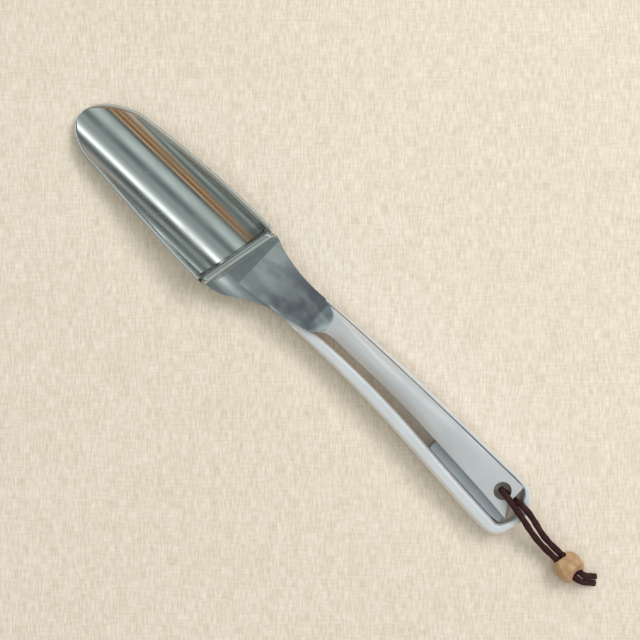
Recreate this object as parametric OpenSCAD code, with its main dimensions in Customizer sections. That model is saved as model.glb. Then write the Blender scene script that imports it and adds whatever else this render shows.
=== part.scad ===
// Metal bone folder: a half-round trough blade on a looped handle, with a beaded cord.
// Millimetres. +X runs from the blade's tip to the handle's end, +Y across, +Z up.
// The origin is under the middle of the tool, on the surface that it lies on.

/* [Whole tool] */
// Length from the blade's tip to the end of the handle
total_len = 175; // [145:1:215]

/* [Blade] */
// Length of the trough, from its tip to its end wall
blade_len = 61.6; // [50:0.1:75]
// Width of the trough over its lips, at the end wall
blade_w = 26.2; // [21.5:0.1:32]
// Depth of the trough inside
blade_depth = 8.6; // [7:0.1:10.5]
// Width that the blunt tip has before it is rounded
tip_w = 17.8; // [14:0.1:21]
// Sideways lean of the tip
tip_lean = 1.3; // [0:0.1:3]
// Sideways bow of the blade half-way along
side_bow = 0.5; // [0:0.1:1]
// Length of the rounded nose
nose_len = 14; // [9:0.5:20]
// Thickness of the trough's sheet
sheet_t = 0.9; // [0.6:0.05:1.3]
// Width of the lip turned out along the trough's edge
lip_w = 1.4; // [0.8:0.1:2]
// Angle of the end wall across the trough, in degrees
wall_slant = 11.5; // [0:0.5:15]

/* [Collar and shoulders] */
// Thickness of the collar behind the end wall
collar_t = 2.2; // [1.6:0.1:3.5]
// Height that the collar stands above the trough's edge
collar_rise = 0.3; // [0.1:0.1:1]
// Length of the shoulders, from the end wall to the neck's start
shoulder_len = 17; // [13:0.5:22]
// Width of the neck
neck_w = 12.9; // [10:0.1:16]

/* [Handle] */
// Width of the handle half-way along
handle_w = 15.0; // [12.5:0.1:18]
// Width of the handle at its end
end_w = 18.3; // [15.5:0.1:22]
// Width of the open side of the loop, along the slot
rail_w = 3.5; // [2.5:0.1:4.5]
// Width of the loop round the handle's end
rim_w = 2.1; // [1.5:0.1:2.5]
// Width of the loop along the strap's outer edge
welt_w = 1.2; // [0.8:0.1:1.6]
// Height of the loop's bar
rail_h = 5.0; // [4:0.1:6]
// Width of the slot between the strap and the loop
slot_w = 2.5; // [1.8:0.1:3.2]
// Thickness of the strap
strap_t = 1.4; // [1:0.1:1.8]
// Height of the strap's crown along the grip
crown_h = 1.5; // [0.8:0.1:2.2]
// Height of the arched handle's top, at the strap's edge
arch_top = 9.4; // [8.4:0.1:10.4]

/* [Hanging hole and cord] */
// Radius of the hanging hole
hole_r = 2.65; // [1.9:0.05:3.2]
// Metal left between the hanging hole and the strap's end
bridge_w = 1.15; // [0.8:0.05:1.6]
// Thickness of the cord
cord_d = 1.9; // [1.4:0.1:1.9]
// Radius of the bead's bore
bore_r = 2.2; // [2.1:0.05:2.6]
// Size of the bead over its flats
bead_size = 8.4; // [7.4:0.1:8.6]

/* [Hidden] */

FIT = 0.1;                 // gap between pieces that lie side by side
STEEL = [0.78, 0.81, 0.81];
SATIN = [0.85, 0.86, 0.88];
COLUMNS = 10;              // strips across a lofted sheet

tip_x = -total_len / 2;
end_x = total_len / 2;
wall_x = tip_x + blade_len;
collar_x = wall_x + collar_t / cos(wall_slant);
neck_x = wall_x + shoulder_len;
rail_x = neck_x + 11;      // where the loop's bars leave the shoulders
grip_len = end_x - rail_x;

// The bow is the arc that passes through both edges and the bottom of the trough.
bow_half = blade_w / 2 - lip_w;
bow_r = (pow(bow_half, 2) + pow(blade_depth, 2)) / (2 * blade_depth);
rim_z = sheet_t + blade_depth;

// A smooth line through [x, value] pairs whose x rises.
function slope(p, i) =
    let (a = p[max(i - 1, 0)], b = p[min(i + 1, len(p) - 1)]) (b[1] - a[1]) / (b[0] - a[0]);
function step_at(p, x, i = 0) = i >= len(p) - 2 || x < p[i + 1][0] ? i : step_at(p, x, i + 1);
function line_at(p, x) =
    let (i = step_at(p, x), w = p[i + 1][0] - p[i][0], t = min(max((x - p[i][0]) / w, 0), 1))
    p[i][1] * (1 + 2 * t) * pow(1 - t, 2) + slope(p, i) * w * t * pow(1 - t, 2)
    + p[i + 1][1] * t * t * (3 - 2 * t) + slope(p, i + 1) * w * t * t * (t - 1);
function ease(t) = let (c = min(max(t, 0), 1)) c * c * (3 - 2 * c);

// A closed solid through rings of the same even number of points. The two end faces are
// ladders of triangles between the first half of a ring and its second half.
module loft(rings) {
    n = len(rings[0]);
    m = len(rings);
    last = (m - 1) * n;
    polyhedron(
        points = [for (r = rings) each r],
        faces = concat(
            [for (j = [0:n / 2 - 2], k = [0, 1])
                k == 0 ? [j, n - 1 - j, j + 1] : [j + 1, n - 1 - j, n - 2 - j]],
            [for (i = [0:m - 2], j = [0:n - 1], k = [0, 1])
                let (a = i * n + j, b = i * n + (j + 1) % n)
                k == 0 ? [a, b, b + n] : [a, b + n, a + n]],
            [for (j = [0:n / 2 - 2], k = [0, 1])
                k == 0 ? [last + j, last + j + 1, last + n - 1 - j]
                       : [last + j + 1, last + n - 2 - j, last + n - 1 - j]]),
        convexity = 8);
}

// ---- Blade: a half-round trough with a turned-out lip and a slanted end wall ----
function nose(u) = pow(1 - pow(1 - min(u, nose_len) / nose_len, 2), 0.42);
function blade_half(u) =
    (blade_w - (blade_w - tip_w) * pow(max(1 - u / blade_len, 0), 1.85)) / 2 * nose(u);
function blade_mid(u) = side_bow * sin(180 * u / blade_len) - tip_lean * max(0, 1 - u / nose_len);
function lip_at(u) = min(lip_w, 0.3 * blade_half(u));
function bow_in(y) = sheet_t + bow_r - sqrt(pow(bow_r, 2) - y * y);
function bow_out(y) =
    bow_r + sheet_t - sqrt(max(pow(bow_r + sheet_t, 2) - y * y, 0));
function blade_top(u, y) =
    let (reach = blade_half(u) - lip_at(u), m = blade_mid(u), c = min(max(y, m - reach), m + reach))
    bow_in(c) + 0.25 * abs(y - c) / lip_at(u);
function blade_columns(u) =
    let (h = blade_half(u), m = blade_mid(u), lip = lip_at(u),
         a = asin((m - h + lip) / bow_r), b = asin((m + h - lip) / bow_r))
    concat([m - h, m - h + lip / 2],
           [for (i = [0:COLUMNS]) bow_r * sin(a + (b - a) * i / COLUMNS)],
           [m + h - lip / 2, m + h]);
function blade_x(u, y) = tip_x + u + tan(wall_slant) * y * pow(u / blade_len, 2);
function blade_ring(u, fill) =
    let (ys = blade_columns(u), n = len(ys) - 1,
         top = [for (y = ys) fill ? max(blade_top(u, y), rim_z) : blade_top(u, y)])
    concat([for (i = [0:n]) [blade_x(u, ys[i]), ys[i], top[i]]],
           [for (i = [n:-1:0]) [blade_x(u, ys[i]), ys[i],
                min(bow_out(ys[i]), blade_top(u, ys[i]) - sheet_t)]]);

module blade() {
    nose_us = [for (i = [0:9]) 0.04 + (nose_len - 0.04) * pow(i / 9, 1.8)];
    body = blade_len - sheet_t - nose_len;
    color(STEEL)
        loft(concat([for (u = nose_us) blade_ring(u, false)],
                    [for (i = [1:7]) blade_ring(nose_len + body * i / 7, false)],
                    [blade_ring(blade_len - sheet_t + 0.02, true), blade_ring(blade_len, true)]));
}

// ---- Collar: a rounded roll that backs the end wall ----
module blade_collar() {
    top = rim_z + collar_rise;
    bow = bow_r + sheet_t;
    color(STEEL)
        translate([wall_x, 0, 0]) rotate([0, 0, -wall_slant])
            intersection() {
                rotate([90, 0, 0])
                    linear_extrude(blade_w, center = true)
                        union() {
                            translate([0, sheet_t]) square([collar_t, top - collar_t / 2 - sheet_t]);
                            translate([collar_t / 2, top - collar_t / 2]) circle(d = collar_t, $fn = 32);
                        }
                translate([0, 0, bow]) rotate([0, 90, 0]) cylinder(r = bow, h = collar_t, $fn = 96);
                translate([0, 0.2 - blade_w / 2 + 0.4, 0]) cube([collar_t, blade_w - 1.4, top + 1]);
            }
}

// ---- Outlines that the handle's pieces share ----
// The tool's two sides, seen from above, from the collar to the handle's rounded end.
half_neck = neck_w / 2;
neck_y = 2.5;              // the neck lies this far to the +Y side
side_y = neck_y + half_neck + 1.6;
function grip_x(share) = rail_x + share * grip_len;
LEFT = [[collar_x - 2.2, -blade_w / 2 + 0.9], [wall_x + 5, -blade_w / 2 + 2.1],
        [wall_x + 9, -blade_w * 0.28 - 1.1], [neck_x, neck_y - half_neck - 0.5],
        [neck_x + 5, neck_y - half_neck + 0.1], [grip_x(0.1), neck_y - half_neck + 0.35],
        [grip_x(0.3), side_y - handle_w + 0.5], [grip_x(0.5), side_y - handle_w - 0.5],
        [grip_x(0.7), side_y - (handle_w + end_w) / 2 - 0.4], [grip_x(0.9), side_y - end_w]];
RIGHT = [[collar_x - 0.6, blade_w / 2 - 0.3], [wall_x + 5, blade_w / 2 - 0.8],
         [wall_x + 10, blade_w / 2 - 2.5], [neck_x + 1, neck_y + half_neck + 0.15],
         [neck_x + 8, neck_y + half_neck - 0.1], [grip_x(0.1), side_y - 1.0],
         [grip_x(0.3), side_y - 0.2], [grip_x(0.6), side_y], [grip_x(0.9), side_y - 0.05]];
function left_y(x) = line_at(LEFT, x);
function right_y(x) = line_at(RIGHT, x);

// Heights along the handle: the arch of the strap's edge, the flat cut of the neck plate
// and the loop's bar, which comes down to the resting surface near its end.
arch_x = grip_x(0.19);
function arch(x) = arch_top - 5.8 * pow((x - arch_x) / grip_len, 2);
plate_x = wall_x + 6.5;    // front edge of the neck plate
plate_end = rail_x + 2;    // where the flat cut runs out at the strap's edges
plate_rise = 1.86;         // how far the flat cut climbs on the way
function plate(x) = arch(plate_end) + plate_rise * (x - plate_end) / (plate_end - plate_x);
function crown(x) = crown_h * ease((x - plate_end + 3) / 12)
                    * (1 - 0.8 * ease((x - grip_x(0.35)) / (grip_len * 0.56)));
// The crest starts beside the +Y edge, where the neck plate ends, and drifts to the middle.
function crest(x) = 0.7 * (1 - ease((x - plate_end) / (grip_len * 0.3)));
function bulge(x, v) = let (c = crest(x)) 1 - pow(v < c ? (c - v) / (1 + c) : (v - c) / (1 - c), 2);
function rail_top(x) = arch(x) - 1.75 + 2.1 * ease((x - grip_x(0.15)) / (grip_len * 0.8));
function rail_bottom(x) = max(min(rail_top(x) - rail_h, (grip_x(0.75) - x) * 0.09), 0);

// ---- Handle loop: a bar bent round the handle's end ----
// Each point is x, y and the bar's width there, from the +Y side round to the slot's side.
function loop_point(share, side, width) =
    let (x = grip_x(share)) [x, side > 0 ? right_y(x) : left_y(x), width];
LOOP = concat(
    [for (s = [0, 0.1, 0.2, 0.35, 0.5, 0.65, 0.8]) loop_point(s, 1, min(welt_w, 0.5 + 2.5 * s))],
    [[end_x - 8, side_y - 0.1, welt_w], [end_x - 4.2, side_y - 0.9, welt_w + 0.7],
     [end_x - 1.6, side_y - 3.4, rim_w + 0.5], [end_x - 0.2, side_y - 6.6, rim_w],
     [end_x, side_y - 9.2, rim_w], [end_x - 0.6, side_y - 12, rim_w + 0.1],
     [end_x - 2, side_y - end_w + 2.5, rim_w + 0.8],
     [end_x - 5, side_y - end_w + 0.3, (rim_w + rail_w) / 2 + 1.0]],
    [for (s = [0.88, 0.75, 0.6, 0.45, 0.3, 0.15, 0])
        loop_point(s, -1, rail_w + 0.6 * ease(s / 0.4) - 0.5 * (1 - ease(s / 0.15)))]);
function spline(p, per) =
    [for (i = [0:len(p) - 2], k = [0:per - 1])
        let (t = k / per, a = p[max(i - 1, 0)], b = p[i], c = p[i + 1], d = p[min(i + 2, len(p) - 1)])
        0.5 * (2 * b + (c - a) * t + (2 * a - 5 * b + 4 * c - d) * t * t
               + (3 * b - a - 3 * c + d) * t * t * t)];
function flat(v) = [v[0], v[1]];
function inward(p, i) =
    let (d = flat(p[min(i + 1, len(p) - 1)] - p[max(i - 1, 0)])) [d[1], -d[0]] / norm(d);
function bar_ring(p, i) =
    let (o = flat(p[i]), n = inward(p, i), w = p[i][2], x = o[0],
         top = rail_top(x), low = rail_bottom(x), r = min(w * 0.45, 1.4))
    [for (c = [[r * 0.5, low], [w - r * 0.5, low], [w, low + r * 0.5], [w, top - r],
               [w - r * 0.3, top - r * 0.3], [w - r, top], [r, top],
               [r * 0.3, top - r * 0.3], [0, top - r], [0, low + r * 0.5]])
        [o[0] + n[0] * c[0], o[1] + n[1] * c[0], c[1]]];

module handle_rail() {
    path = concat(spline(LOOP, 3), [LOOP[len(LOOP) - 1]]);
    color(SATIN) loft([for (i = [0:len(path) - 1]) bar_ring(path, i)]);
}

// ---- Strap: a flat neck plate that runs into a crowned grip, with the hanging hole ----
hole_x = end_x - 10.4;
hole_y = side_y - 6.3;
strap_end = hole_x + hole_r + bridge_w;
slot_y = side_y - handle_w + rail_w + 0.75;
STRAP_LEFT = [[plate_x, -blade_w * 0.2], [plate_x + 9, neck_y - half_neck - 0.3],
              [neck_x + 4, neck_y - half_neck + 0.5], [rail_x - 2, neck_y - half_neck + 1.5],
              [rail_x + 3, neck_y - half_neck + 3.1], [rail_x + 7, slot_y + slot_w - 0.4],
              [grip_x(0.18), slot_y + slot_w], [grip_x(0.42), slot_y + slot_w],
              [grip_x(0.58), slot_y + slot_w - 0.8], [grip_x(0.8), slot_y + slot_w - 2.1],
              [grip_x(0.96), slot_y + slot_w - 3.4]];
function strap_left(x) = line_at(STRAP_LEFT, x);
function strap_right(x) =
    right_y(x) - (x < rail_x ? 0 : min(welt_w, 0.5 + 2.5 * (x - rail_x) / grip_len) + FIT);
function ridge(x, v) =
    min(arch(x) + crown(x) * bulge(x, v), max(plate(x), x - plate_end + arch(x)));
function strap_ring(x) =
    let (a = strap_left(x), b = strap_right(x), n = COLUMNS, vs = [for (i = [0:n]) 2 * i / n - 1])
    concat([for (v = vs) [x, (a + b) / 2 + v * (b - a) / 2, ridge(x, v)]],
           [for (i = [n:-1:0])
               [x, (a + b) / 2 + vs[i] * (b - a) / 2, min(plate(x), ridge(x, vs[i])) - strap_t]]);

// The space between the strap's end and the loop, which the cord comes back up through.
module end_opening() {
    translate([0, 0, -1])
        linear_extrude(20)
            polygon([[strap_end, side_y + 1], [strap_end, hole_y - hole_r + 0.8],
                     [strap_end + 2.6, hole_y - 5.8], [end_x + 1, hole_y - 5.8],
                     [end_x + 1, side_y + 1]]);
}

module handle_strap() {
    last = strap_end + 2.6;
    neck = [for (i = [0:8]) plate_x + (rail_x - 0.02 - plate_x) * i / 8];
    grip = [for (i = [0:18]) rail_x + (last - rail_x) * i / 18];
    color(SATIN)
        difference() {
            loft([for (x = concat(neck, grip)) strap_ring(x)]);
            translate([hole_x, hole_y, 0]) cylinder(r = hole_r, h = 20, $fn = 64);
            end_opening();
        }
}

// ---- Shoulders: the lower pressing between the collar and the handle loop ----
function shoulder_ring(t) =
    let (x0 = collar_x + (rail_x - collar_x) * t, skew = tan(wall_slant) * pow(1 - t, 3),
         a = left_y(x0 - skew * 10), b = right_y(x0 + skew * 10), n = COLUMNS,
         vs = [for (i = [0:n]) sin(90 * (2 * i / n - 1))],
         ys = [for (v = vs) (a + b) / 2 + v * (b - a) / 2])
    let (xs = [for (y = ys) x0 + skew * y],
         tops = [for (i = [0:n])
             let (out = max(strap_left(max(xs[i], plate_x)) - ys[i],
                            ys[i] - strap_right(max(xs[i], plate_x))))
             plate(xs[i]) - strap_t + 1.3 * ease(out / 5) * (1 - t)])
    concat([for (i = [0:n]) [xs[i], ys[i], tops[i]]],
           [for (i = [n:-1:0]) [xs[i], ys[i],
               min((1 - ease(t)) * (bow_out(ys[i]) + sheet_t) + ease(t) * rail_bottom(rail_x),
                   tops[i] - 1.5)]]);

module shoulders() {
    color(STEEL) loft([for (i = [0:14]) shoulder_ring(i / 14)]);
}

// ---- Groove plate: the sunk floor between the strap and the loop, near the end ----
groove_x = grip_x(0.6);
function loop_inner(x) = left_y(x) + (rail_w + 0.6) * 1.01;
module groove_plate() {
    last = strap_end + 2.5;
    color(STEEL)
        difference() {
            loft([for (i = [0:14])
                let (x = groove_x + (last - groove_x) * i / 14, top = arch(x) - strap_t - 0.9,
                     a = loop_inner(x) + 0.4 * ease((x - end_x + 8) / 4), b = strap_left(x) + 1.4)
                [[x, a, top], [x, b, top], [x, b, top - 1.2], [x, a, top - 1.2]]]);
            end_opening();
        }
}

// ---- Cord: one length, doubled through the hanging hole, both tails through the bead ----
// The route is written for a hanging hole at (77.1, 4.25) and moves with the hole.
ROUTE = [[116.2, 3.4, 1.02], [115.1, 2.6, 1.5], [113.8, 1.8, 2.6], [112.3, 1.0, 3.9], [110.5, 0.65, 4.4],
         [107, 0.65, 4.4], [103, 0.65, 4.4], [99.5, 0.65, 4.4], [97, 0.7, 4.6], [94.5, 0.9, 5.3],
         [92, 1.25, 6.3], [89.6, 1.75, 7.3], [87, 2.35, 8.0], [84.4, 2.85, 8.4], [82, 3.3, 8.4],
         [80, 3.7, 8.1], [78.4, 4.0, 7.3], [77.4, 4.2, 6.1], [77.1, 4.25, 4.6], [77.5, 4.3, 3.0],
         [78.4, 4.4, 2.0], [79.8, 4.55, 1.6], [81.2, 4.7, 2.0], [82.1, 4.8, 3.0], [82.5, 4.85, 4.5],
         [82.7, 4.95, 6.0], [83.6, 5.05, 7.4], [85.3, 5.0, 8.1], [87.4, 4.75, 8.0], [89.6, 4.3, 7.3],
         [92, 3.7, 6.3], [94.5, 3.15, 5.3], [97, 2.85, 4.6], [99.5, 2.75, 4.4], [103, 2.75, 4.4],
         [107, 2.75, 4.4], [110.5, 2.75, 4.4], [111.9, 3.05, 3.9], [113.1, 3.7, 2.6], [114.1, 4.3, 1.5],
         [115.0, 5.0, 1.02]];
CORD = [for (p = ROUTE) [p[0] - 77.1 + hole_x, p[1] - 4.25 + hole_y, p[2]]];
function unit(v) = v / norm(v);
function cord_ring(i) =
    let (t = unit(CORD[min(i + 1, len(CORD) - 1)] - CORD[max(i - 1, 0)]),
         s = unit(cross([0, 1, 0], t)), u = cross(t, s))
    [for (k = [0:7]) CORD[i] + cord_d / 2 * (cos(45 * k) * s + sin(45 * k) * u)];

module lanyard_cord() {
    color([0.2, 0.11, 0.13]) loft([for (i = [0:len(CORD) - 1]) cord_ring(i)]);
}

// ---- Bead: a small whittled block with flats, bored for both tails of the cord ----
bead_at = [hole_x + 29.6, hole_y - 2.75, bead_size / 2 + 0.04];
bore_at = [hole_x + 29.6, hole_y - 2.55, 4.4];
face_tilt = 40;            // the tails come out of a face that looks this far upward
module bead() {
    color([0.78, 0.62, 0.45])
        difference() {
            translate(bead_at)
                intersection() {
                    sphere(d = bead_size * 1.13, $fn = 48);
                    cube(bead_size, center = true);
                    rotate([0, 45, 8]) cube(bead_size * 1.06, center = true);
                    rotate([40, 12, 42]) cube(bead_size * 1.04, center = true);
                    rotate([0, -face_tilt, 0])
                        translate([bead_size * 0.345 - 20, -10, -10]) cube(20);
                }
            translate(bore_at) rotate([0, 90, 0])
                cylinder(r = bore_r, h = bead_size * 2, center = true, $fn = 48);
        }
}

blade();
blade_collar();
shoulders();
handle_rail();
handle_strap();
groove_plate();
lanyard_cord();
bead();
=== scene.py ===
import math

import bmesh
import bpy
from mathutils import Matrix, Vector


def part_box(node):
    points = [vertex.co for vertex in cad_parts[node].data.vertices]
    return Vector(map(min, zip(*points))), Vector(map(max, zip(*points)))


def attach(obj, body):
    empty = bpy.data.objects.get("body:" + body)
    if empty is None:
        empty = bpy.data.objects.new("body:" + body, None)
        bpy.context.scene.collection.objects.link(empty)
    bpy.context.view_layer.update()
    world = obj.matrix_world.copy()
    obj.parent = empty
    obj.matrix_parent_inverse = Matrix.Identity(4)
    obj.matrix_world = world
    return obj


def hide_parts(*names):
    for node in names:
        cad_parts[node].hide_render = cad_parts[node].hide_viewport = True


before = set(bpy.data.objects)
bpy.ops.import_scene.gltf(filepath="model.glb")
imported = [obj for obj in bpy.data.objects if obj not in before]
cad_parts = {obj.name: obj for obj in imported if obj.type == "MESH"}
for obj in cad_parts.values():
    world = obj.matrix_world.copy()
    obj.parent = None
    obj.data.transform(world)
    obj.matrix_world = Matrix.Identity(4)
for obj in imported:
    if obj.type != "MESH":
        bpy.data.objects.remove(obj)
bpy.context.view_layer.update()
MM = 0.001


# ---- Camera ----
# A long lens straight above the tool, turned so that the tool lies across the frame from
# the lower right to the upper left.
middle = Vector((4.9, 3.4, 0)) * MM
view_width = 185.6 * MM
turn_of_frame = math.radians(43.775)
lens = bpy.data.cameras.new("overhead")
lens.lens = 85
lens.clip_start = 0.01
camera = bpy.data.objects.new("overhead", lens)
camera.location = middle + Vector((0, 0, 5 * MM + view_width * lens.lens / lens.sensor_width))
camera.rotation_euler = (0, 0, turn_of_frame)
bpy.context.scene.collection.objects.link(camera)
bpy.context.scene.camera = camera


# ---- Blade ----
# A half-round trough pressed from one polished sheet, with a lip turned out along its edge.
# It tapers to a blunt rounded tip, and a flat wall closes it where the neck begins.
def millimetres(node):
    low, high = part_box(node)
    return Vector(low) / MM, Vector(high) / MM


def ease(share):
    share = min(max(share, 0.0), 1.0)
    return share * share * (3 - 2 * share)


def mix(a, b, share):
    return a + (b - a) * share


def smooth_line(knots, x):
    """The height at x of a smooth line through (x, height) knots."""
    last = len(knots) - 1
    i = 0
    while i < last - 1 and x >= knots[i + 1][0]:
        i += 1

    def slope(k):
        a, b = knots[max(k - 1, 0)], knots[min(k + 1, last)]
        return (b[1] - a[1]) / (b[0] - a[0])

    width = knots[i + 1][0] - knots[i][0]
    t = min(max((x - knots[i][0]) / width, 0.0), 1.0)
    return (knots[i][1] * (1 + 2 * t) * (1 - t) ** 2 + slope(i) * width * t * (1 - t) ** 2
            + knots[i + 1][1] * t * t * (3 - 2 * t) + slope(i + 1) * width * t * t * (t - 1))


def skin(rows, columns, place, caps=False):
    """Faces in rows and columns whose corners lie where place(along, across) says, in mm."""
    bm = bmesh.new()
    bmesh.ops.create_grid(bm, x_segments=rows, y_segments=columns, size=0.5)
    for corner in bm.verts:
        corner.co = Vector(place(corner.co.x + 0.5, corner.co.y + 0.5)) * MM
    bmesh.ops.remove_doubles(bm, verts=bm.verts, dist=0.002 * MM)
    if caps:
        bmesh.ops.holes_fill(bm, edges=[e for e in bm.edges if e.is_boundary], sides=0)
    bmesh.ops.recalc_face_normals(bm, faces=bm.faces)
    return bm


def two_sided(columns, top, bottom):
    """Where the corners of a closed section lie: across its top, and back along its bottom."""
    half = columns // 2 - 1

    def place(along, across):
        k = round(across * columns) % columns
        return top(along, k / half) if k <= half else bottom(along, 1 - (k - half - 1) / half)

    return place


def piece(bm, name, body, nodes, material, corner):
    """Turn a bmesh into a finished object that stands for CAD nodes and rides on a body.
    Edges that fold by more than corner degrees stay sharp."""
    for face in bm.faces:
        face.smooth = True
    for edge in bm.edges:
        edge.smooth = not edge.is_manifold or edge.calc_face_angle(0) < math.radians(corner)
    mesh = bpy.data.meshes.new(name)
    bm.to_mesh(mesh)
    bm.free()
    mesh.materials.append(material)
    obj = bpy.data.objects.new(name, mesh)
    bpy.context.scene.collection.objects.link(obj)
    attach(obj, body)
    if nodes:
        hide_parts(*nodes)
    return obj


def thicken(obj, thickness, outward):
    """Give a sheet its thickness in mm: outward is 1 for the side its faces point to, or -1."""
    solid = obj.modifiers.new("sheet", "SOLIDIFY")
    solid.thickness = thickness * MM
    solid.offset = outward


def round_edges(obj, width, angle):
    edge = obj.modifiers.new("edges", "BEVEL")
    edge.width = width * MM
    edge.segments = 3
    edge.limit_method = "ANGLE"
    edge.angle_limit = math.radians(angle)
    edge.harden_normals = True


class Wire:
    """A socket of a shader tree. Arithmetic on it adds Math nodes."""

    def __init__(self, tree, socket=None):
        self.tree, self.socket = tree, socket

    def node(self, kind, settings=None, out=0, stops=None, **inputs):
        """A new node. Inputs go by name, with _ for a space, or by number as i0, i1, i2."""
        made = self.tree.nodes.new(kind)
        for key, value in (settings or {}).items():
            setattr(made, key, value)
        if stops:
            ends = made.color_ramp.elements
            ends[0].position, ends[-1].position = stops[0][0], stops[-1][0]
            ends[0].color, ends[-1].color = (*stops[0][1], 1), (*stops[-1][1], 1)
            for where, colour in stops[1:-1]:
                ends.new(where).color = (*colour, 1)
        for key, value in inputs.items():
            numbered = key[1:].isdigit()
            socket = made.inputs[int(key[1:]) if numbered else key.replace("_", " ")]
            if isinstance(value, Wire):
                self.tree.links.new(value.socket, socket)
            else:
                socket.default_value = value
        return Wire(self.tree, made.outputs[out] if len(made.outputs) else None)

    def math(self, operation, a, b):
        return self.node("ShaderNodeMath", {"operation": operation}, i0=a, i1=b)

    def __add__(self, other): return self.math("ADD", self, other)
    def __radd__(self, other): return self.math("ADD", other, self)
    def __sub__(self, other): return self.math("SUBTRACT", self, other)
    def __rsub__(self, other): return self.math("SUBTRACT", other, self)
    def __mul__(self, other): return self.math("MULTIPLY", self, other)
    def __rmul__(self, other): return self.math("MULTIPLY", other, self)

    def clipped(self, low, high, start=0.0, end=1.0):
        """From start where the value is low, to end where it is high, and flat beyond both."""
        return self.node("ShaderNodeMapRange", {"clamp": True},
                         i0=self, i1=low, i2=high, i3=start, i4=end)

    def part(self, axis):
        return self.node("ShaderNodeSeparateXYZ", None, axis, Vector=self)

    def scaled(self, x, y, z):
        return self.node("ShaderNodeVectorMath", {"operation": "MULTIPLY"}, i0=self, i1=(x, y, z))

    def turned(self, angle):
        return self.node("ShaderNodeMapping", Vector=self, Rotation=(0, 0, angle))

    def noise(self, scale, detail, roughness=0.5):
        return self.node("ShaderNodeTexNoise", Vector=self, Scale=scale, Detail=detail,
                         Roughness=roughness)


def new_material(name):
    material = bpy.data.materials.new(name)
    material.use_nodes = True
    tree = material.node_tree
    tree.nodes.clear()
    wires = Wire(tree)
    place = wires.node("ShaderNodeTexCoord", out="Object")
    return material, wires, place


def blend_colours(wires, share, a, b):
    return wires.node("ShaderNodeMix", {"data_type": "RGBA"}, 2, i0=share, i6=a, i7=b)


def surface(wires, height, strength, distance, **inputs):
    """Close a material: a shader whose relief follows height, over a distance in mm."""
    bump = wires.node("ShaderNodeBump", Strength=strength, Distance=distance * MM, Height=height)
    shader = wires.node("ShaderNodeBsdfPrincipled", Normal=bump, **inputs)
    wires.node("ShaderNodeOutputMaterial", Surface=shader)


def worked_steel(name, light, dark, dullness, haze, grain, relief, metal=1.0, polished=None,
                 painted_sheen=(0.92, 0.97, 0.94)):
    """Sheet steel: fine lines of polishing, smudges of handling and a few hair scratches.
    Dullness, and what haze and grain add to it, are roughness; relief is in mm. Where
    polished(place) is 1, a smoother face shows, and its colour is painted reflection: the light
    tone sheen, with painted dark patches of reflection and a painted darkening towards the grip."""
    material, wires, place = new_material(name)
    lines = place.scaled(35, 900, 500).noise(1.0, 4.0, 0.6)
    smudges = place.scaled(60, 90, 90).noise(1.0, 3.0, 0.55)
    cloudy = smudges.clipped(0.42, 0.68)
    slanted = place.turned(0.6).scaled(90, 2600, 90).noise(1.0, 1.0, 0.4).clipped(0.76, 0.80)
    crossed = place.turned(-0.9).scaled(70, 2200, 70).noise(1.0, 1.0, 0.4).clipped(0.77, 0.81)
    scratches = slanted + crossed
    colour = blend_colours(wires, cloudy * 0.5 + lines * 0.35, (*light, 1), (*dark, 1))
    roughness = dullness + cloudy * haze + lines * grain + scratches * 0.10
    height = lines * 0.6 + smudges * 0.2 - scratches * 0.5
    if polished:
        # Painted reflection: a light tone, with painted dark patches, darker towards the grip.
        bright = polished(place) * (0.86 + cloudy * 0.14)
        dark_reflection_patches = place.scaled(110, 170, 110).noise(1.0, 2.0, 0.5).clipped(0.40, 0.54)
        painted_darkening = dark_reflection_patches * 0.45 + place.part("X").clipped(-15 * MM, -7 * MM) * 0.55
        plain = blend_colours(wires, painted_darkening, (*painted_sheen, 1), (0.34, 0.36, 0.39, 1))
        colour = blend_colours(wires, bright, colour, plain)
        roughness = roughness * (1 - bright * 0.62)
        metal = bright * (1 - metal) + metal
    surface(wires, height, 0.35, relief, Base_Color=colour, Roughness=roughness, Metallic=metal)
    return material


polished_steel = worked_steel("polished_steel", (0.69, 0.71, 0.69), (0.54, 0.56, 0.55),
                              dullness=0.08, haze=0.14, grain=0.05, relief=0.012)

blade_low, blade_high = millimetres("blade")
tip_x = -87.5
blade_length = 61.6
blade_width = blade_high.y - blade_low.y
tip_width = 17.8
tip_lean = 1.3
side_bow = 0.5
nose_length = 14.0
nose_power, taper_power = 0.42, 1.85
sheet = 0.9
lip = 1.4
lip_rise = 0.28
lip_from = 0.84
depth = 8.6
wall_slant = math.tan(math.radians(11.5))
wall_x = tip_x + blade_length
bow_half = blade_width / 2 - lip
bow_radius = (bow_half ** 2 + depth ** 2) / (2 * depth)
rim_z = sheet + depth


def blade_half(u):
    """Half the blade's width, u mm behind its tip."""
    round_nose = (1 - (1 - min(u, nose_length) / nose_length) ** 2) ** nose_power
    taper = (blade_width - tip_width) * max(1 - u / blade_length, 0) ** taper_power
    return (blade_width - taper) / 2 * round_nose


def bow(y):
    """The height of the trough's hollow face."""
    return sheet + bow_radius - math.sqrt(max(bow_radius ** 2 - y * y, 0.0))


def belly(y):
    """The height of the trough's underside."""
    return sheet + bow_radius - math.sqrt(max((bow_radius + sheet) ** 2 - y * y, 0.0))


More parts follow.
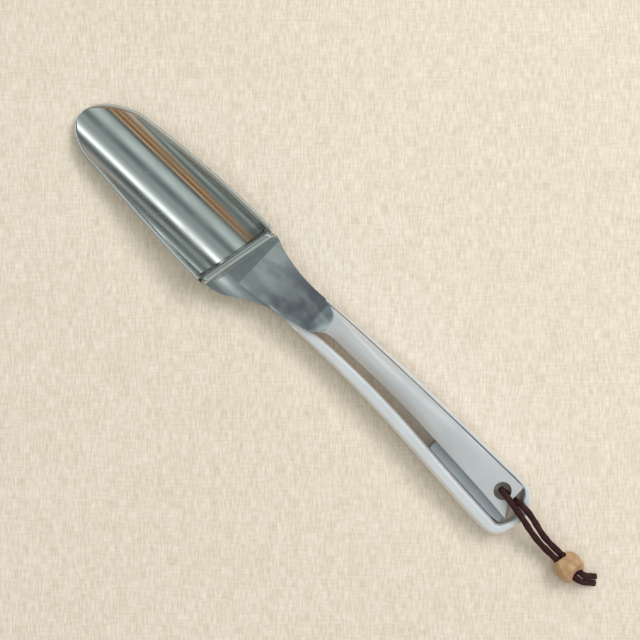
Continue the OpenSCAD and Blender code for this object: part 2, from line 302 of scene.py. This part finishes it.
def trough(along, across):
    """The hollow face. Past lip_from, the share of the section towards an edge, lies the lip."""
    u = blade_length * (along ** 1.7 if along < 0.5 else mix(0.5 ** 1.7, 1, (along - 0.5) * 2))
    half = blade_half(u)
    mid = side_bow * math.sin(math.pi * u / blade_length) - tip_lean * max(0, 1 - u / nose_length)
    turn = min(lip, 0.3 * half)
    reach = half - turn
    share = abs(2 * across - 1)
    side = 1 if across > 0.5 else -1
    if share <= lip_from:
        a, b = math.asin((mid - reach) / bow_radius), math.asin((mid + reach) / bow_radius)
        y = bow_radius * math.sin(mix(a, b, 0.5 + side * share / lip_from / 2))
        z = bow(y)
    else:
        out = (share - lip_from) / (1 - lip_from)
        y = mid + side * (reach + turn * out)
        rise = lip_rise * turn * math.sin(math.pi * min(out * 0.9 + 0.05, 1))
        z = bow(mid + side * reach) + rise
    return tip_x + u + wall_slant * y * (u / blade_length) ** 2, y, z


def trough_under(along, across):
    x, y, z = trough(along, across)
    return x, y, z - max(sheet, z - belly(y))


blade = piece(skin(56, 122, two_sided(122, trough, trough_under), True), "trough_blade", "tool",
              ["blade"], polished_steel, 60)
round_edges(blade, 0.3, 60)


def end_wall(along, across):
    """The flat wall, whose foot runs forward into the hollow in a soft curve."""
    y = mix(-bow_half, bow_half, along) * 0.999
    z = mix(bow(y) - 0.1, rim_z + 0.1, across)
    return wall_x + wall_slant * y - 1.3 * (1 - across) ** 3, y, z


# In the corner at the trough's end the wall's dark colour is painted shade; its steel is duller.
corner_shade_steel = worked_steel("corner_shade_steel", (0.36, 0.38, 0.38), (0.16, 0.17, 0.17),
                               dullness=0.16, haze=0.2, grain=0.1, relief=0.03)
wall = piece(skin(30, 6, end_wall), "trough_end_wall", "tool", [], corner_shade_steel,
             180)
thicken(wall, 0.8, 1)


# ---- Collar ----
# A rounded roll of the same sheet across the trough's end wall, which stiffens the mouth.
# Its ends run out into the lip.
collar_thick = 2.2
collar_rise = 0.3
collar_left, collar_right = -12.5, 12.1
runout = 2.0
square_to_wall = math.cos(math.atan(wall_slant))


def collar(along, across):
    y = mix(collar_left, collar_right, along)
    radius = collar_thick / 2
    low = belly(y) + 0.05
    from_end = min(along, 1 - along) * (collar_right - collar_left)
    fall = runout * (1 - math.sqrt(max(1 - (1 - min(from_end / runout, 1)) ** 2, 0)))
    top = max(rim_z + collar_rise - radius - fall, low + 0.1)
    if across < 0.3:
        x, z = 0, mix(low, top, across / 0.3)
    elif across > 0.7:
        x, z = collar_thick, mix(top, low, (across - 0.7) / 0.3)
    else:
        angle = math.pi * (across - 0.3) / 0.4
        x, z = radius - radius * math.cos(angle), top + radius * math.sin(angle)
    return wall_x + wall_slant * y + 0.02 + x / square_to_wall, y, z


roll = skin(60, 30, collar)
lengthwise = [e for e in roll.edges
              if e.is_boundary and abs(e.verts[0].co.y - e.verts[1].co.y) > 1e-6]
bmesh.ops.bridge_loops(roll, edges=lengthwise)
bmesh.ops.holes_fill(roll, edges=[e for e in roll.edges if e.is_boundary], sides=0)
bmesh.ops.recalc_face_normals(roll, faces=roll.faces)
piece(roll, "collar_roll", "tool", ["blade_collar"], polished_steel, 50)


# ---- Shoulders ----
# The lower pressing between the collar and the handle: it draws in from the trough's width
# to the neck's, and its flanks show on both sides of the neck plate.
collar_x = wall_x + collar_thick / square_to_wall
neck_x = wall_x + 17.0
rail_x = neck_x + 11
end_x = 87.5
grip = end_x - rail_x
neck_y, half_neck = 2.5, 6.45
side_y = neck_y + half_neck + 1.6
handle_width, end_width = 15.0, 18.3
LEFT = [(collar_x - 2.2, -12.2), (wall_x + 5, -11.0), (wall_x + 9, -8.436),
        (neck_x, neck_y - half_neck - 0.5), (neck_x + 5, neck_y - half_neck + 0.1),
        (rail_x + 0.1 * grip, neck_y - half_neck + 0.35),
        (rail_x + 0.3 * grip, side_y - handle_width + 0.5),
        (rail_x + 0.5 * grip, side_y - handle_width - 0.5),
        (rail_x + 0.7 * grip, side_y - (handle_width + end_width) / 2 - 0.4),
        (rail_x + 0.9 * grip, side_y - end_width)]
RIGHT = [(collar_x - 0.6, 12.8), (wall_x + 5, 12.3), (wall_x + 10, 10.6),
         (neck_x + 1, neck_y + half_neck + 0.15), (neck_x + 8, neck_y + half_neck - 0.1),
         (rail_x + 0.1 * grip, side_y - 1.0), (rail_x + 0.3 * grip, side_y - 0.2),
         (rail_x + 0.6 * grip, side_y), (rail_x + 0.9 * grip, side_y - 0.05)]
plate_x = wall_x + 6.5
plate_end = rail_x + 2
plate_rise = 1.86
arch_x, arch_top, arch_drop = rail_x + 0.19 * grip, 9.4, 5.8
crown_height = 1.5
sheet_strap = 1.4
rail_width, rim_width, welt_width, rail_height = 3.5, 2.1, 1.2, 5.0
slot_width = 2.5
slot_y = side_y - handle_width + rail_width + 0.75
slot_far = slot_y + slot_width
STRAP_LEFT = [(plate_x, -5.24), (plate_x + 9, neck_y - half_neck - 0.3),
              (neck_x + 4, neck_y - half_neck + 0.5), (rail_x - 2, neck_y - half_neck + 1.5),
              (rail_x + 3, neck_y - half_neck + 3.1), (rail_x + 7, slot_far - 0.4),
              (rail_x + 0.18 * grip, slot_far), (rail_x + 0.42 * grip, slot_far),
              (rail_x + 0.58 * grip, slot_far - 0.8), (rail_x + 0.8 * grip, slot_far - 2.1),
              (rail_x + 0.96 * grip, slot_far - 3.4)]


def left_side(x):
    return smooth_line(LEFT, x)


def right_side(x):
    return smooth_line(RIGHT, x)


def strap_left(x):
    return smooth_line(STRAP_LEFT, x)


def welt(share):
    """The loop's width beside the strap, at a share of the way along the grip."""
    return min(welt_width, 0.5 + 2.5 * share)


def strap_right(x):
    return right_side(x) - (0 if x < rail_x else welt((x - rail_x) / grip) + 0.1)


def arch(x):
    """The height of the handle's back, which is highest a fifth of the way along the grip."""
    return arch_top - arch_drop * ((x - arch_x) / grip) ** 2


def plate(x):
    """The height of the flat neck plate, which climbs from the collar to the grip."""
    return arch(plate_end) + plate_rise * (x - plate_end) / (plate_end - plate_x)


def crown(x):
    """How far the grip's middle stands above its sides: it swells, then flattens again."""
    flattened = 0.8 * ease((x - rail_x - 0.35 * grip) / (grip * 0.56))
    return crown_height * ease((x - plate_end + 3) / 12) * (1 - flattened)


def bulge(x, v):
    """The crown's section, from 0 at both sides (v -1 and 1) to 1 at its crest."""
    crest = 0.7 * (1 - ease((x - plate_end) / (grip * 0.3)))
    return 1 - ((crest - v) / (1 + crest) if v < crest else (v - crest) / (1 - crest)) ** 2


def rail_top(x):
    return arch(x) - 1.75 + 2.1 * ease((x - rail_x - 0.15 * grip) / (grip * 0.8))


def rail_bottom(x):
    return max(min(rail_top(x) - rail_height, (rail_x + 0.75 * grip - x) * 0.09), 0)


def shoulder_place(along, across):
    x0 = mix(collar_x + 0.02, rail_x, along)
    skew = wall_slant * (1 - along) ** 3
    a, b = left_side(x0 - skew * 10), right_side(x0 + skew * 10)
    y = (a + b) / 2 + math.sin(math.pi * (across - 0.5)) * (b - a) / 2
    return x0 + skew * y, y


def shoulder_top(along, across):
    x, y = shoulder_place(along, across)
    at = max(x, plate_x)
    out = max(strap_left(at) - y, y - strap_right(at))
    return x, y, plate(x) - sheet_strap + 1.3 * ease(out / 5) * (1 - along)


def shoulder_belly(along, across):
    x, y, top = shoulder_top(along, across)
    return x, y, min(mix(belly(y) + sheet, rail_bottom(rail_x), ease(along)), top - 1.5)


def by_the_blade(place):
    """1 beside the blade, falling to 0 where the polish gives way to the satin handle."""
    return place.part("X").clipped(1 * MM, -8 * MM)


satin_light, satin_dark = (0.78, 0.79, 0.81), (0.67, 0.68, 0.70)
satin = {"haze": 0.10, "grain": 0.08, "relief": 0.014}
# Beside the blade the shoulders carry a darker painted reflection than the neck plate does.
neck_steel = worked_steel("neck_steel", satin_light, satin_dark, dullness=0.36, metal=0.5,
                          polished=by_the_blade, painted_sheen=(0.50, 0.54, 0.52), **satin)
base = piece(skin(40, 80, two_sided(80, shoulder_top, shoulder_belly), True),
             "shoulder_pressing", "tool", ["shoulders"], neck_steel, 50)
round_edges(base, 0.35, 50)


# ---- Handle loop ----
# A bar bent into a long loop round the handle's end. It is thick along the slot, thin where
# it borders the strap, and it is the part that a finger hooks under.
satin_steel = worked_steel("satin_steel", satin_light, satin_dark, dullness=0.36, metal=0.5,
                           **satin)


def bend_point(share, side, width):
    """A point of the bar's outer edge, at a share of the grip, with the bar's width there."""
    x = rail_x + share * grip
    return Vector((x, right_side(x) if side > 0 else left_side(x), width))


LOOP = [bend_point(s, 1, welt(s)) for s in (0, 0.1, 0.2, 0.35, 0.5, 0.65, 0.8)]
LOOP += [Vector(p) for p in (
    (end_x - 8, side_y - 0.1, welt_width), (end_x - 4.2, side_y - 0.9, welt_width + 0.7),
    (end_x - 1.6, side_y - 3.4, rim_width + 0.5), (end_x - 0.2, side_y - 6.6, rim_width),
    (end_x, side_y - 9.2, rim_width), (end_x - 0.6, side_y - 12, rim_width + 0.1),
    (end_x - 2, side_y - end_width + 2.5, rim_width + 0.8),
    (end_x - 5, side_y - end_width + 0.3, (rim_width + rail_width) / 2 + 1.0))]
LOOP += [bend_point(s, -1, rail_width + 0.6 * ease(s / 0.4) - 0.5 * (1 - ease(s / 0.15)))
         for s in (0.88, 0.75, 0.6, 0.45, 0.3, 0.15, 0)]


def through(points, share):
    """A smooth curve through points, and its direction, at a share of the way along."""
    last = len(points) - 1
    i = min(int(share * last), last - 1)
    t = share * last - i
    a, b, c, d = points[max(i - 1, 0)], points[i], points[i + 1], points[min(i + 2, last)]
    bend, twist = 2 * a - 5 * b + 4 * c - d, 3 * b - a - 3 * c + d
    point = 0.5 * (2 * b + (c - a) * t + bend * t * t + twist * t ** 3)
    way = 0.5 * ((c - a) + 2 * bend * t + 3 * twist * t * t)
    return point, way


def squared(turn):
    """A point round a soft-cornered square that reaches from -1 to 1."""
    return [math.copysign(abs(c) ** 0.5, c) for c in (math.cos(turn), math.sin(turn))]


def loop_bar(along, across):
    at, way = through(LOOP, along)
    inward = Vector((way.y, -way.x)).normalized()
    sideways, upward = squared(2 * math.pi * across)
    from_edge = at.z / 2 * (1 + sideways)
    z = mix(rail_bottom(at.x), rail_top(at.x), (1 + upward) / 2)
    return at.x + inward.x * from_edge, at.y + inward.y * from_edge, z


piece(skin(210, 48, loop_bar, True), "handle_loop", "tool", ["handle_rail"], satin_steel,
      88)


# ---- Strap ----
# One sheet: the flat neck plate that lies over the shoulders, running into the crowned grip.
# The hanging hole is drilled near its end, and the cord comes back up past that end.
hole_x, hole_y, hole_radius = end_x - 10.4, side_y - 6.3, 2.65
strap_end = hole_x + hole_radius + 1.15
opening_corner = 2.6


def neck_plate(place):
    """1 on the flat neck plate, whose polished face ends in a round front before the grip."""
    from_middle = place.node("ShaderNodeVectorMath", {"operation": "SUBTRACT"},
                             i0=place, i1=(1.6 * MM, 3.0 * MM, 0))
    ahead = place.node("ShaderNodeVectorMath", {"operation": "MAXIMUM"},
                       i0=from_middle, i1=(0, -1, -1))
    apart = place.node("ShaderNodeVectorMath", {"operation": "LENGTH"}, "Value",
                       i0=ahead.scaled(1, 1, 0))
    flat = place.part("X").clipped(-6 * MM, -9 * MM)
    return place.math("MAXIMUM", flat, apart.clipped(6.9 * MM, 6.1 * MM))


# The grip is a little darker than the loop, and its satin finish is less metallic.
# On the neck plate its colour is the light painted reflection of the polished face.
grip_steel = worked_steel("grip_steel", (0.57, 0.585, 0.605), (0.485, 0.50, 0.52),
                          dullness=0.32, metal=0.32, polished=neck_plate, **satin)


def strap_height(x, v):
    return min(arch(x) + crown(x) * bulge(x, v), max(plate(x), x - plate_end + arch(x)))


def strap_top(along, across):
    x = mix(plate_x, strap_end + opening_corner, along)
    return x, mix(strap_left(x), strap_right(x), across), strap_height(x, 2 * across - 1)


def strap_bottom(along, across):
    x, y, z = strap_top(along, across)
    return x, y, min(plate(x), z) - sheet_strap


def cut_away(obj, cutter):
    """Take the cutter's shape out of the piece, and throw the cutter away."""
    mesh = bpy.data.meshes.new("cutter")
    cutter.to_mesh(mesh)
    cutter.free()
    tool = bpy.data.objects.new("cutter", mesh)
    bpy.context.scene.collection.objects.link(tool)
    cut = obj.modifiers.new("cut", "BOOLEAN")
    cut.object, cut.operation, cut.solver = tool, "DIFFERENCE", "EXACT"
    bpy.context.view_layer.update()
    evaluated = obj.evaluated_get(bpy.context.evaluated_depsgraph_get())
    done = bpy.data.meshes.new_from_object(evaluated)
    obj.modifiers.remove(cut)
    old, obj.data = obj.data, done
    bpy.data.meshes.remove(old)
    bpy.data.objects.remove(tool)
    bpy.data.meshes.remove(mesh)


def end_opening():
    """The opening between the strap's end and the loop's rim, with one slanted corner."""
    bm = bmesh.new()
    past_end, past_side, opening_low = end_x + 1, side_y + 1, hole_y - 5.8
    outline = [(strap_end, past_side), (strap_end, hole_y - hole_radius + 0.8),
               (strap_end + opening_corner, opening_low), (past_end, opening_low),
               (past_end, past_side)]
    face = bm.faces.new([bm.verts.new(Vector((x, y, -1)) * MM) for x, y in outline])
    raised = bmesh.ops.extrude_face_region(bm, geom=[face])["geom"]
    corners = [g for g in raised if isinstance(g, bmesh.types.BMVert)]
    bmesh.ops.translate(bm, verts=corners, vec=(0, 0, 20 * MM))
    bmesh.ops.recalc_face_normals(bm, faces=bm.faces)
    return bm


def drill(radius, length, segments):
    bm = bmesh.new()
    bmesh.ops.create_cone(bm, cap_ends=True, segments=segments, radius1=radius * MM,
                          radius2=radius * MM, depth=length * MM)
    return bm


strap = piece(skin(150, 62, two_sided(62, strap_top, strap_bottom), True),
              "grip_strap", "tool", ["handle_strap"], grip_steel, 50)
cut_away(strap, end_opening())
hole = drill(hole_radius, 40, 64)
bmesh.ops.translate(hole, verts=hole.verts, vec=Vector((hole_x, hole_y, 0)) * MM)
cut_away(strap, hole)
round_edges(strap, 0.25, 50)


# ---- Groove floor ----
# A small sunk plate that closes the slot between the strap and the loop towards the end.
def floor_sheet(along, across):
    x = mix(rail_x + 0.6 * grip, strap_end + 2.5, along)
    by_the_loop = left_side(x) + (rail_width + 0.6) * 1.01 + 0.1 + 0.4 * ease((x - end_x + 8) / 4)
    under_strap = strap_left(x) + 1.4
    return x, mix(by_the_loop, under_strap, across), arch(x) - sheet_strap - 0.9


# The floor lies sunk in the slot, and its darker colour is painted shade for that recess.
groove_shade_steel = worked_steel("groove_shade_steel", (0.43, 0.46, 0.49), (0.35, 0.375, 0.40),
                          dullness=0.28, metal=0.5, **satin)
groove = piece(skin(40, 10, floor_sheet), "groove_floor", "tool", ["groove_plate"], groove_shade_steel,
               180)
thicken(groove, 1.2, -1)


# ---- Cord ----
# One length of waxed cord: both tails lie side by side through the bead, run over the rim,
# and meet in a U under the strap's end, up through the hanging hole.
ROUTE = [Vector(p) for p in (
    (116.2, 3.4, 1.02), (115.1, 2.6, 1.5), (113.8, 1.8, 2.6), (112.3, 1.0, 3.9),
    (110.5, 0.65, 4.4), (107, 0.65, 4.4), (103, 0.65, 4.4), (99.5, 0.65, 4.4),
    (97, 0.7, 4.6), (94.5, 0.9, 5.3), (92, 1.25, 6.3), (89.6, 1.75, 7.3),
    (87, 2.35, 8.0), (84.4, 2.85, 8.4), (82, 3.3, 8.4), (80, 3.7, 8.1),
    (78.4, 4.0, 7.3), (77.4, 4.2, 6.1), (77.1, 4.25, 4.6), (77.5, 4.3, 3.0),
    (78.4, 4.4, 2.0), (79.8, 4.55, 1.6), (81.2, 4.7, 2.0), (82.1, 4.8, 3.0),
    (82.5, 4.85, 4.5), (82.7, 4.95, 6.0), (83.6, 5.05, 7.4), (85.3, 5.0, 8.1),
    (87.4, 4.75, 8.0), (89.6, 4.3, 7.3), (92, 3.7, 6.3), (94.5, 3.15, 5.3),
    (97, 2.85, 4.6), (99.5, 2.75, 4.4), (103, 2.75, 4.4), (107, 2.75, 4.4),
    (110.5, 2.75, 4.4), (111.9, 3.05, 3.9), (113.1, 3.7, 2.6), (114.1, 4.3, 1.5),
    (115.0, 5.0, 1.02))]
cord_thick = 1.9
route_steps = 400
route_line = [through(ROUTE, i / route_steps)[0] for i in range(route_steps + 1)]
route_length = sum((b - a).length for a, b in zip(route_line, route_line[1:]))

# Round strands laid into a cord: each turn of the section twists a little further along.
cord_frames = []
side = Vector((0, 1, 0))
for i in range(route_steps + 1):
    way = (route_line[min(i + 1, route_steps)] - route_line[max(i - 1, 0)]).normalized()
    side = (side - way * side.dot(way)).normalized()
    cord_frames.append((route_line[i], side, way.cross(side)))


def cord_skin(along, across):
    centre, sideways, upward = cord_frames[round(along * route_steps)]
    angle = 2 * math.pi * across
    lay = angle * 2 - along * route_length * 1.5
    radius = cord_thick / 2 * (0.97 + 0.05 * math.cos(lay))
    return centre + (sideways * math.cos(angle) + upward * math.sin(angle)) * radius


material, wires, place = new_material("waxed_cord")
fibres = place.noise(2600.0, 2.0, 0.6)
worn = place.noise(320.0, 2.0).clipped(0.45, 0.72)
tone = blend_colours(wires, worn * 0.6 + fibres * 0.5,
                     (0.022, 0.007, 0.008, 1), (0.062, 0.022, 0.024, 1))
surface(wires, fibres, 0.8, 0.06, Base_Color=tone, Roughness=0.7 + fibres * 0.25,
        Specular_IOR_Level=0.25)
cord = piece(skin(route_steps, 16, cord_skin, True), "hanging_cord", "lanyard",
             ["lanyard_cord"], material, 60)


# ---- Bead ----
# A small lump of light wood, whittled to flats and sanded, bored for both tails of the cord.
bead_low, bead_high = millimetres("bead")
bead_middle = (bead_low + bead_high) / 2
bead_size = bead_high.x - bead_low.x
# Each flat faces the way of its first three numbers, at a share of the bead's radius.
FLATS = [(0.77, 0, 0.64, 0.72), (1, 0.1, 0.1, 0.97), (-1, 0.05, 0.1, 0.97), (0.1, 1, 0.2, 0.93),
         (0, -1, 0.1, 0.95), (0, 0.05, 1, 0.94), (0, 0, -1, 0.99), (0.75, 0.6, 0.5, 0.97),
         (0.7, -0.6, 0.55, 0.95), (-0.65, 0.65, 0.5, 0.93), (-0.6, -0.7, 0.5, 0.97),
         (0.5, 0.2, 0.9, 0.96), (-0.55, 0.1, 0.85, 0.95)]
lump = bmesh.new()
bmesh.ops.create_icosphere(lump, subdivisions=4, radius=bead_size * 0.54 * MM)
for x, y, z, reach in FLATS:
    way = Vector((x, y, z)).normalized()
    bmesh.ops.bisect_plane(lump, geom=lump.verts[:] + lump.edges[:] + lump.faces[:],
                           plane_co=way * bead_size / 2 * reach * MM, plane_no=way,
                           clear_outer=True)
    bmesh.ops.holes_fill(lump, edges=[e for e in lump.edges if e.is_boundary], sides=0)
bmesh.ops.translate(lump, verts=lump.verts, vec=bead_middle * MM)
bmesh.ops.recalc_face_normals(lump, faces=lump.faces)

material, wires, place = new_material("bead_wood")
rings = place.scaled(170, 520, 700).noise(1.0, 4.0, 0.55)
pores = place.scaled(500, 2600, 2600).noise(1.0, 2.0, 0.5).clipped(0.58, 0.72)
handled = place.noise(260.0, 2.0).clipped(0.4, 0.7)
GRAIN = [(0.3, (0.34, 0.18, 0.085)), (0.5, (0.47, 0.29, 0.155)), (0.7, (0.57, 0.39, 0.235))]
grain_tone = wires.node("ShaderNodeValToRGB", stops=GRAIN, Fac=rings)
tone = blend_colours(wires, pores * 0.5 + handled * 0.25, grain_tone, (0.27, 0.155, 0.08, 1))
surface(wires, rings * 0.6 - pores * 0.4, 0.5, 0.08, Base_Color=tone,
        Roughness=0.5 + pores * 0.2 - handled * 0.1)
bead = piece(lump, "wooden_bead", "bead_body", ["bead"], material, 35)
bore_middle, bore_radius = Vector((106.7, 1.7, 4.4)), 2.2
bore = drill(bore_radius, 30, 48)
bmesh.ops.rotate(bore, verts=bore.verts, cent=(0, 0, 0),
                 matrix=Matrix.Rotation(math.pi / 2, 3, "Y"))
bmesh.ops.translate(bore, verts=bore.verts, vec=bore_middle * MM)
cut_away(bead, bore)
round_edges(bead, 0.3, 22)

[p * MM for p in route_line]


# ---- Floor and light ----
# A plain pale cloth, lit by a long narrow lamp overhead and a window to one side. The
# polished steel mirrors a room of darker and lighter bands, and both lamps stay out of it.
bm = bmesh.new()
bmesh.ops.create_grid(bm, x_segments=1, y_segments=1, size=6)
mesh = bpy.data.meshes.new("table")
bm.to_mesh(mesh)
bm.free()
table = bpy.data.objects.new("table", mesh)
table.location.z = -0.2 * MM
bpy.context.scene.collection.objects.link(table)
material, wires, place = new_material("pale_cloth")
square = place.turned(-turn_of_frame)
warp = square.scaled(2000, 300, 1).noise(1.0, 1.0, 0.5).clipped(0.32, 0.68)
weft = square.scaled(260, 1500, 1).noise(1.0, 1.0, 0.5).clipped(0.32, 0.68)
uneven = square.scaled(420, 90, 1).noise(1.0, 2.0, 0.6).clipped(0.38, 0.66)
weave = warp * 0.68 + weft * 0.32
broad = place.noise(9.0, 2.0)
tone = blend_colours(wires, broad * 0.2 + uneven * 0.15 + weave * 0.65,
                     (0.85, 0.765, 0.665, 1), (0.58, 0.495, 0.39, 1))
surface(wires, weave, 0.4, 0.2, Base_Color=tone, Roughness=0.9)
table.data.materials.append(material)

world = bpy.data.worlds.new("room")
bpy.context.scene.world = world
world.use_nodes = True
world.node_tree.nodes.clear()
air = Wire(world.node_tree)
direction = air.node("ShaderNodeTexCoord", out="Generated")
upward = direction.part("Z")
lean = air.math("ARCTAN2", direction.part("Y"), upward) * (180 / math.pi)
# What the steel mirrors, by how many degrees it leans from straight up towards +Y.
SKY = [(-90, (0.30, 0.29, 0.28)), (-78, (0.12, 0.11, 0.10)), (-72, (0.26, 0.16, 0.09)),
       (-66, (0.44, 0.27, 0.14)), (-61, (0.12, 0.07, 0.045)), (-57, (0.20, 0.115, 0.065)),
       (-53, (0.66, 0.46, 0.26)), (-50, (0.09, 0.09, 0.09)), (-46, (0.07, 0.085, 0.085)),
       (-38, (0.32, 0.37, 0.36)), (-24, (0.48, 0.55, 0.53)), (-14, (0.41, 0.47, 0.46)),
       (-4, (0.27, 0.31, 0.31)), (8, (0.35, 0.40, 0.39)), (22, (0.25, 0.285, 0.285)),
       (33, (0.42, 0.47, 0.47)), (39, (0.80, 0.86, 0.86)), (43, (1.3, 1.36, 1.36)),
       (48, (1.2, 1.26, 1.26)), (53, (0.22, 0.25, 0.25)), (60, (0.07, 0.08, 0.085)),
       (68, (0.09, 0.10, 0.105)), (78, (0.34, 0.35, 0.36)), (90, (0.52, 0.51, 0.49))]
bands = air.node("ShaderNodeValToRGB", stops=[((a + 90) / 180, tone) for a, tone in SKY],
                 Fac=lean.clipped(-90, 90))
# A dark patch almost straight above, and a plain warm tone near the floor.
overhead = air.node("ShaderNodeVectorMath", {"operation": "DISTANCE"}, "Value",
                    i0=direction, i1=(-0.13, 0.0, 0.98))
bands = blend_colours(air, overhead.clipped(0.30, 0.06, 0.0, 0.75), bands,
                      (0.075, 0.085, 0.095, 1))
glow = blend_colours(air, upward.clipped(0.10, 0.26), (0.50, 0.40, 0.29, 1), bands)
backdrop = air.node("ShaderNodeBackground", Color=glow, Strength=1.35)
air.node("ShaderNodeOutputWorld", Surface=backdrop)


def soft_light(name, place, aim, width, height, watts, colour):
    lamp = bpy.data.lights.new(name, "AREA")
    lamp.shape = "RECTANGLE"
    lamp.size, lamp.size_y = width, height
    lamp.energy, lamp.color = watts, colour
    obj = bpy.data.objects.new(name, lamp)
    obj.location = place
    obj.rotation_euler = (Vector(aim) - Vector(place)).to_track_quat("-Z", "Y").to_euler()
    obj.visible_glossy = False
    bpy.context.scene.collection.objects.link(obj)


soft_light("ceiling", (0.02, 0.0, 0.95), (0, 0, 0), 0.9, 0.14, 2.6, (1.0, 0.985, 0.96))
soft_light("window", (0.10, 0.60, 0.74), (0, 0, 0), 0.6, 0.42, 4.55, (1.0, 0.975, 0.95))
bpy.context.scene.view_settings.view_transform = "Standard"
